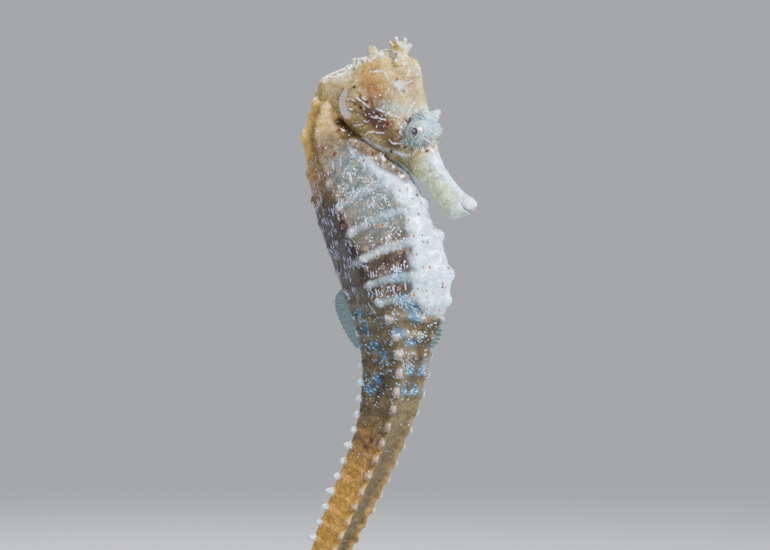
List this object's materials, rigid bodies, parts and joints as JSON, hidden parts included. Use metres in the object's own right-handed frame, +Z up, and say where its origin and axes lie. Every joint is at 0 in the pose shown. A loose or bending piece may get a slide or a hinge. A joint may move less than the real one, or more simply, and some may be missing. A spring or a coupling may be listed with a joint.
{
  "type": "seahorse model on a display stand",
  "caption": "Life-size seahorse with a crowned head, long snout, ringed trunk and forward-coiled tail, held upright over a round base by a short rod.",
  "frame": {"origin": "middle of the underside of the round base", "axes": "+X the way the animal faces, +Y its left side, +Z up"},
  "size_m": [0.06, 0.06, 0.1354],
  "materials": {
    "skin_head": "moist skin, orange-brown with pale streaks",
    "skin_pale": "moist skin, white to pale grey-blue with small rust dots",
    "skin_neck": "moist skin, yellow-orange to tan",
    "skin_body": "moist skin, brown with blue-white flecks",
    "skin_tail": "moist skin, tan to yellow-orange with cream knobs",
    "fin": "thin translucent membrane on fine rays",
    "eye": "wet dark pupil in a speckled iris",
    "stand_wood": "dark stained and waxed turned wood",
    "stand_brass": "satin brass",
    "stand_steel": "brushed steel rod"
  },
  "bodies": {
    "root": {"head": "skin_head", "snout": "skin_pale", "coronet": "skin_pale", "neck": "skin_neck", "trunk_upper": "skin_pale", "trunk_lower": "skin_body", "tail_1": "skin_tail", "tail_2": "skin_tail", "tail_3": "skin_tail", "tail_4": "skin_tail", "tail_5": "skin_tail", "tail_6": "skin_tail", "tail_7": "skin_tail", "tail_8": "skin_tail", "tail_9": "skin_tail", "dorsal_fin": "fin", "anal_fin": "fin", "pectoral_fin_left": "fin", "pectoral_fin_right": "fin", "eye_left": "eye", "eye_right": "eye", "stand_base": "stand_wood", "stand_ferrule": "stand_brass", "stand_rod": "stand_steel", "stand_cradle": "stand_brass"}
  },
  "joints": []
}
